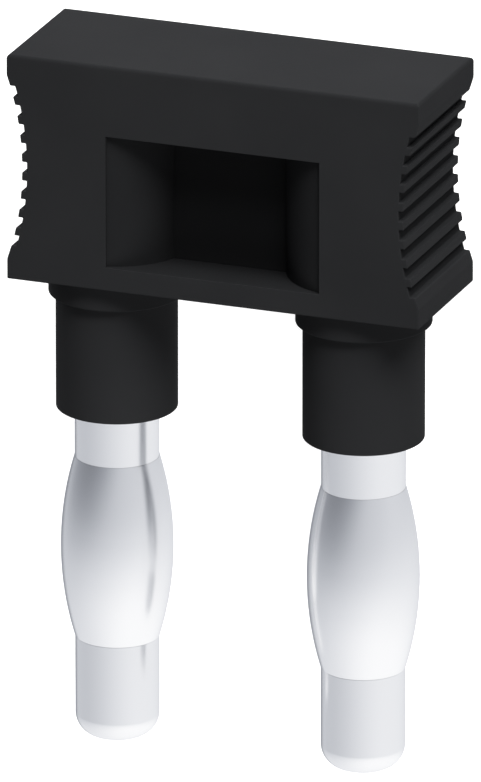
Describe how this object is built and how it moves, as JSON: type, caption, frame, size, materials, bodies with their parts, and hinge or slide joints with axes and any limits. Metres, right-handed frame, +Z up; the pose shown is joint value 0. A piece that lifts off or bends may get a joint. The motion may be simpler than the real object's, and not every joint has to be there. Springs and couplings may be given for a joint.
{
  "type": "two-pin bridging plug",
  "caption": "Black moulded grip with ribbed, hollowed ends that holds round plated contact pins with barrel springs, bridged inside to link neighbouring 4 mm sockets.",
  "frame": {"origin": "on the floor under the middle of the lying plug", "axes": "the plug lies on its back as it comes to rest: +X from the left pin to the right pin, +Y from the pin ends towards the grip, +Z up, out of the front of the grip. The pins slope down towards their ends by 4.13 degrees."},
  "size_m": [0.0166, 0.028, 0.0066],
  "materials": {
    "black_polyamide": "fine matt moulded",
    "link_brass": "plain rolled",
    "pin_plating": "bright plated, finely turned",
    "spring_plating": "bright plated"
  },
  "bodies": {
    "root": {"housing": "black_polyamide", "bridge_bar": "link_brass", "left_pin": "pin_plating", "right_pin": "pin_plating", "left_contact_spring": "spring_plating", "right_contact_spring": "spring_plating"}
  },
  "joints": []
}
